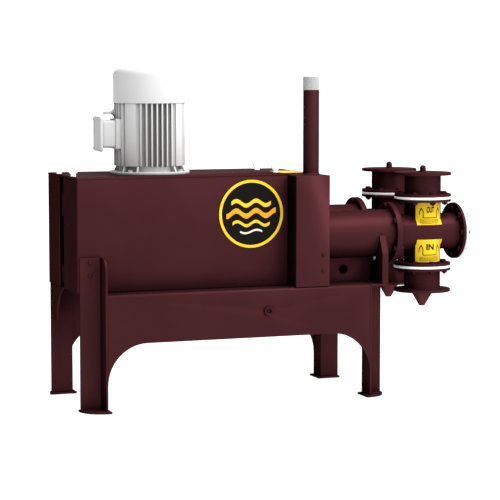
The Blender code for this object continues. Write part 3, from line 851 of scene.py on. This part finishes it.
# %% The two labels
bracket_half = 0.029
bracket_low = -0.016
arrow_top = 0.022
head_low = 0.008
arrow_out = 0.0435
tail = 0.012
dashes_top = -0.0235
dash_pitch = 0.0045
dashes_left, dashes_right = -0.042, 0.038


def label_print(text):
    parts = [word(text, 0.032, 0.024, 0.015)]
    parts.append(stroke((-bracket_half, bracket_low), (bracket_half, bracket_low), 0.0030))
    for sign in (-1, 1):
        inner, outer, tip = sign * bracket_half, sign * arrow_out, sign * (bracket_half + arrow_out) / 2
        parts.append(stroke((inner, bracket_low), (inner, head_low), 0.0030))
        parts.append(stroke((inner, head_low - 0.001), (tip, arrow_top), 0.0036))
        parts.append(stroke((outer, head_low - 0.001), (tip, arrow_top), 0.0036))
        parts.append(stroke((outer, head_low), (outer, head_low - tail), 0.0026))
    for row in range(4):
        across = dashes_left
        number = row
        height = dashes_top - dash_pitch * row
        while across < dashes_right:
            length = 0.003 + 0.0015 * (number * 7 % 4)
            parts.append(stroke((across, height), (across + length, height), 0.0017))
            across += length + 0.0016
            number += 1
    return parts


label_width = 0.118
label_height = 0.087
labels = {"OUT": 0.688, "IN": 0.5445}
body_low, body_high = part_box("valve_body_front")
gasket_low, gasket_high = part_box("upper_gasket_front")
for text, height in labels.items():
    middle = Vector(((gasket_low.x + gasket_high.x) / 2, (body_low.y + body_high.y) / 2, height))
    label = wrap(panel(label_width, label_height), middle, 0.0009, 0.0006)
    deliver(f"label_{text.lower()}", label, yellow_print)
    deliver(f"label_{text.lower()}_print", wrap(join(label_print(text)), middle, 0.0013, 0.0003), black_print)

# %% [markdown]
# ## Motor
#
# The motor stands on a round flange. Above it come the end bell, the finned stator, and the fan cover
# with its rounded shoulder. The stator's slots are already in the solid, so it gets soft edges only.

# %% Stator and flange
flange_low, flange_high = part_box("motor_flange")
axis = (flange_low + flange_high) / 2
motor_foot = (axis.x, axis.y, 0)
motor_flange_radius = (flange_high.x - flange_low.x) / 2
plate_top = flange_low.z + 0.010
bell_radius = 0.116
bell = turned([(0, flange_high.z), (bell_radius, flange_high.z), (bell_radius, flange_low.z + 0.014),
               (0.119, flange_low.z + 0.0105), (0.132, plate_top), (motor_flange_radius, plate_top),
               (motor_flange_radius, flange_low.z), (0, flange_low.z)], (0, 0, 1), motor_foot, 128, 0.0015)
deliver("motor_flange_bell", bell, casting, ("motor_flange",))
deliver("motor_stator_fins", soften(merged_copy("motor_stator"), 0.0016), casting,
        ("motor_stator",))

# %% [markdown]
# On each diagonal a pair of flared ribs runs down to the flange, with a bolt between them. The motor
# stands slightly turned on the housing, so its pieces are placed in a frame of its own.

# %% Ribs and flange bolts
motor_turn = -4.7
motor_frame = Matrix.Translation((axis.x, axis.y, 0)) @ Matrix.Rotation(math.radians(motor_turn), 4, "Z")
ribs_low, ribs_high = flange_low.z + 0.009, flange_high.z - 0.0004
rib_spread = 13
ribs = bmesh.new()
for number in range(4):
    for side in (-1, 1):
        rib = slab((0.100, -0.0035, ribs_low), (0.131, 0.0035, ribs_high))
        for vert in rib.verts:
            if vert.co.x > 0.12 and vert.co.z < ribs_low + 0.001:
                vert.co.x += 0.010
        soften(rib, 0.0015)
        turn = Matrix.Rotation(math.radians(45 + 90 * number + rib_spread * side), 4, "Z")
        stamp(ribs, as_mesh(rib), motor_frame @ turn)
deliver("motor_bell_ribs", ribs, casting)
motor_bolt_circle = 0.1325
bolts = bmesh.new()
stamp_circle(bolts, flange_head, (axis.x, axis.y, plate_top), (0, 0, 1), motor_bolt_circle, 4,
             45 + motor_turn)
deliver("motor_flange_bolts", bolts, zinc)

# %% [markdown]
# The fan cover is a pressed bowl. Air enters through the grille in its top, modelled as a dish with
# rings and four spokes over a black disc of painted shadow.

# %% Fan cover
cover_low, cover_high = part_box("fan_cover")
cover_radius = (cover_high.x - cover_low.x) / 2
shoulder = 0.024
mouth = 0.095
wall = 0.003
profile = [(cover_radius - wall, cover_low.z), (cover_radius, cover_low.z)]
profile += arc((cover_radius - shoulder, cover_high.z - shoulder), shoulder, 0, 90, 10)
profile += [(mouth, cover_high.z), (mouth, cover_high.z - wall)]
profile += arc((cover_radius - shoulder, cover_high.z - shoulder), shoulder - wall, 90, 0, 10)
profile += [(cover_radius - wall, cover_low.z)]
deliver("fan_cover_bowl", turned(profile, (0, 0, 1), motor_foot, 128, 0.0006), pressed,
        ("fan_cover",))
grille = bmesh.new()
for number in range(7):
    hoop = turned_ring(0.017 + 0.0125 * number, 0.0016)
    stamp(grille, hoop, Matrix.Translation((axis.x, axis.y, cover_high.z - 0.0022)))
for number in range(4):
    bar = bmesh.new()
    bmesh.ops.create_cube(bar, size=1.0)
    bmesh.ops.scale(bar, vec=(mouth - 0.010, 0.006, 0.0022), verts=bar.verts)
    turn = Matrix.Rotation(math.radians(90 * number), 4, "Z")
    place = Matrix.Translation((axis.x, axis.y, cover_high.z - 0.0024)) @ turn
    bmesh.ops.transform(bar, matrix=place @ Matrix.Translation((mouth / 2 + 0.005, 0, 0)), verts=bar.verts)
    grille.from_mesh(as_mesh(bar))
deliver("fan_grille", grille, pressed)
# A black disc of painted shadow inside the cover, under the grille.
dark_top, dark_low = cover_high.z - 0.020, cover_high.z - 0.022
dark_radius = mouth + 0.008
inside = turned([(0, dark_top), (dark_radius, dark_top), (dark_radius, dark_low), (0, dark_low)], (0, 0, 1),
                motor_foot, 64, 0)
deliver("fan_shadow", inside, shadow)

# %% [markdown]
# The terminal box sits on the side of the stator: a squared casting on a pad, with a screwed lid. Each
# is a slab between two corners with its long edges rounded. A drum of the stator's size cuts the pad's
# back, so that it fits the round side.

# %% Terminal box
box_z = 1.0015
lid_face = -0.2005
body_face = -0.1902
body_back = -0.1390
pad_back = -0.112
seat_radius = 0.1331


def rounded_slab(front, back, half_width, half_height, corner, segments):
    """A slab that faces along X, with its four long edges rounded."""
    bm = slab((front, -half_width, box_z - half_height), (back, half_width, box_z + half_height))
    long_edges = [e for e in bm.edges if abs(e.verts[0].co.x - e.verts[1].co.x) > 0.001]
    bmesh.ops.bevel(bm, geom=long_edges, offset=corner, segments=segments, profile=0.5, affect="EDGES",
                    material=-1)
    return bm


body = rounded_slab(body_face, body_back + 0.001, 0.052, 0.051, 0.011, 6)
pad = rounded_slab(body_back, pad_back, 0.056, 0.056, 0.005, 4)
seat = turned([(0, box_z + 0.08), (seat_radius, box_z + 0.08), (seat_radius, box_z - 0.08),
               (0, box_z - 0.08)], (0, 0, 1), (0, 0, 0), edge=0)
housing = combine(combine(body, pad, "UNION"), seat, "DIFFERENCE")
bmesh.ops.transform(housing, matrix=motor_frame, verts=housing.verts)
deliver("terminal_box_casting", housing, casting, ("terminal_box",))
lid_half_width = 0.068
lid_half_height = 0.0645
lid = rounded_slab(lid_face, lid_face + 0.010, lid_half_width, lid_half_height, 0.010, 6)
soften(lid, 0.002)
bmesh.ops.transform(lid, matrix=motor_frame, verts=lid.verts)
deliver("terminal_box_cover", lid, casting, ("terminal_box_lid",))
screw_inset = 0.010
screws = bmesh.new()
for across in (-1, 1):
    for up in (-1, 1):
        screw_y = across * (lid_half_width - screw_inset)
        screw_z = box_z + up * (lid_half_height - screw_inset)
        place = spot(lid_face, screw_y, screw_z, (-1, 0, 0))
        stamp(screws, small_head, motor_frame @ place @ Matrix.Scale(0.6, 4))
deliver("terminal_box_screws", screws, zinc)

# %% [markdown]
# A lifting eye is screwed into the stator just above the box. Its ring lies flat, and a spun shank with
# a collar joins it to the motor.

# %% Motor lifting eye
motor_eye_x, motor_eye_z = -0.1575, 1.080
shank_x = -0.1465
hook = bmesh.new()
stamp(hook, turned_ring(0.0165, 0.0045), motor_frame @ Matrix.Translation((motor_eye_x, 0, motor_eye_z)))
shank = turned([(0, 0.0), (0.008, 0.0), (0.008, 0.006), (0.0125, 0.007), (0.0125, 0.016), (0, 0.016)],
               (1, 0, 0), (shank_x, 0, motor_eye_z), 32, 0.0006)
stamp(hook, as_mesh(shank), motor_frame)
deliver("motor_lifting_eye", hook, casting)

# %% [markdown]
# ## Yellow plate on the bulkhead
#
# A plain yellow plate lies on top of the bulkhead, seen almost edge on from the front. It is a thin slab
# and has no words.

# %% Top plate
plate_left, plate_right = left_end + 0.833, left_end + 0.931
plate_front, plate_rear = -0.073, 0.061
plate = slab((plate_left, plate_front, box_high.z), (plate_right, plate_rear, box_high.z + 0.0012))
deliver("bulkhead_top_plate", soften(plate, 0.0004, 1), yellow_print)

# %% [markdown]
# ## Stage, light and camera
#
# The machine stands on a plain white floor. The floor glows by itself, so that it stays white up to the
# edge of the picture and hardly takes a shadow.

# %% Floor
floor_mesh = bpy.data.meshes.new("floor")
floor_bm = bmesh.new()
bmesh.ops.create_grid(floor_bm, x_segments=1, y_segments=1, size=30.0)
floor_bm.to_mesh(floor_mesh)
floor_bm.free()
floor = bpy.data.objects.new("floor", floor_mesh)
pale = Finish("pale_floor", Roughness=0.9, Specular_IOR_Level=0.1, Emission_Strength=1.0)
pale.set("Base Color", pale.between(pale.noise(0.4), (0.21, 0.21, 0.21, 1), (0.19, 0.19, 0.19, 1)))
pale.set("Emission Color", (1.0, 1.0, 1.0, 1.0))
floor_mesh.materials.append(pale.material)
bpy.context.scene.collection.objects.link(floor)

# %% [markdown]
# The studio is brighter above than at eye level, dim on the left, and white behind the machine. One
# formula on the direction of the sky gives all three.

# %% Studio surroundings
world = bpy.data.worlds.new("studio")
world.use_nodes = True
studio = Graph(world.node_tree)
sky = world.node_tree.nodes["Background"]


def sky_towards(direction):
    """How far the sky's direction agrees with another one, from -1 to 1."""
    seen = studio.node("ShaderNodeTexCoord", output="Generated")
    return studio.node("ShaderNodeVectorMath", {"operation": "DOT_PRODUCT"}, {0: seen, 1: direction}, "Value")


eye_level = 0.15 + studio.steps(sky_towards((1, 0, 0)), -0.7, 0.6) * 0.20
ceiling = studio.steps(sky_towards((0.36, -0.30, 0.88)), 0.2, 0.75) * 2.1
backdrop = studio.steps(sky_towards((0.351, 0.936, 0.0)), 0.955, 0.975) * 1.2
studio.feed(sky.inputs["Color"], (1.0, 1.0, 1.0, 1.0))
studio.feed(sky.inputs["Strength"], eye_level + ceiling + backdrop)
bpy.context.scene.world = world
print("surroundings ready")

# %% [markdown]
# One broad, soft light stands high at the front right and leaves the left end dimmer. A large disk gives
# shadows with soft edges, where a small lamp would give hard ones.

# %% Key light
key_target = Vector((0.1, 0.0, 0.6))
key_towards = Vector((0.40, -0.44, 0.82))
key_distance = 4.5
key = bpy.data.lights.new("key", "AREA")
key.shape = "DISK"
key.size = 2.6
key.energy = 120
key_holder = bpy.data.objects.new("key", key)
key_holder.location = key_target + key_towards.normalized() * key_distance
key_holder.rotation_euler = (-key_towards).to_track_quat("-Z", "Y").to_euler()
bpy.context.scene.collection.objects.link(key_holder)
print("key light ready")

# %% [markdown]
# The camera stands far off at the front left, about as high as the top of the motor, and looks slightly
# down. Its long lens keeps the far legs almost as large as the near ones. The focal length was found in
# pixels of a square picture, so it is turned into millimetres here.

# %% Camera
picture_pixels = 500
focal_pixels = 1940
look_down = 5.3595
look_right = 20.538
camera_data = bpy.data.cameras.new("camera")
camera_data.sensor_width = 36.0
camera_data.lens = focal_pixels / picture_pixels * camera_data.sensor_width
camera = bpy.data.objects.new("camera", camera_data)
camera.location = (left_end - 1.8592, -6.9425, 1.245)
camera.rotation_euler = (math.radians(90 - look_down), 0.0, math.radians(-look_right))
bpy.context.scene.collection.objects.link(camera)
bpy.context.scene.camera = camera
bpy.context.scene.view_settings.view_transform = "Standard"
print("camera ready")
